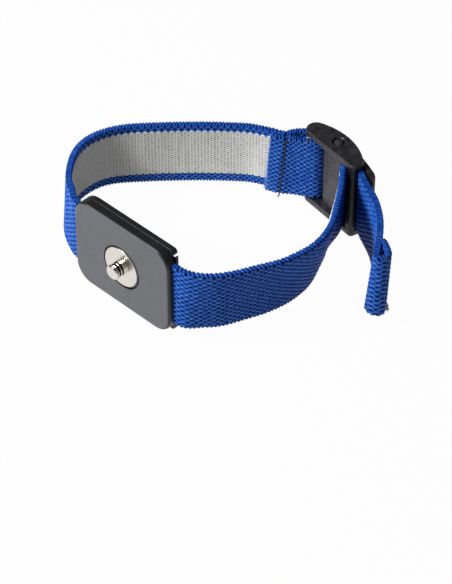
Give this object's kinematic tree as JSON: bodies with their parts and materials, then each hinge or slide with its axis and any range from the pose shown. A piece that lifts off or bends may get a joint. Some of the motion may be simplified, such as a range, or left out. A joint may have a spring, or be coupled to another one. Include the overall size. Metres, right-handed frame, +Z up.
{
  "type": "esd wrist strap",
  "caption": "Adjustable elastic grounding wrist strap with a press stud in a flat housing, a sewn loop and a cam buckle that locks the folded tail.",
  "frame": {"origin": "on the floor, under the middle of the strap's own box", "axes": "+X along the housing, -Y out of the press stud, +Z up along the band's width; the strap stands on its lower edge"},
  "size_m": [0.0825, 0.0675, 0.0245],
  "materials": {
    "knit_band": "matte knit",
    "conductive_knit": "matte knit",
    "thread": "matte",
    "housing_slate": "satin",
    "housing_black": "satin",
    "nickel": "polished",
    "buckle_black": "fine matte"
  },
  "bodies": {
    "strap": {"elastic_band": "knit_band", "conductive_lining": "conductive_knit", "loop_stitching": "thread", "tail_stitching": "thread", "housing_cover": "housing_slate", "housing_back": "housing_black", "stud_flange": "nickel", "snap_stud": "nickel", "rivet": "nickel", "contact_disc": "nickel", "buckle_frame": "buckle_black"},
    "lever": {"cam_lever": "buckle_black"}
  },
  "joints": [
    {"name": "lever_hinge", "type": "hinge", "parent": "strap", "child": "lever", "pos_m": [0.00576, 0.03045, 0.011], "axis": [0, 0, 1], "range_deg": [0, 90]}
  ]
}
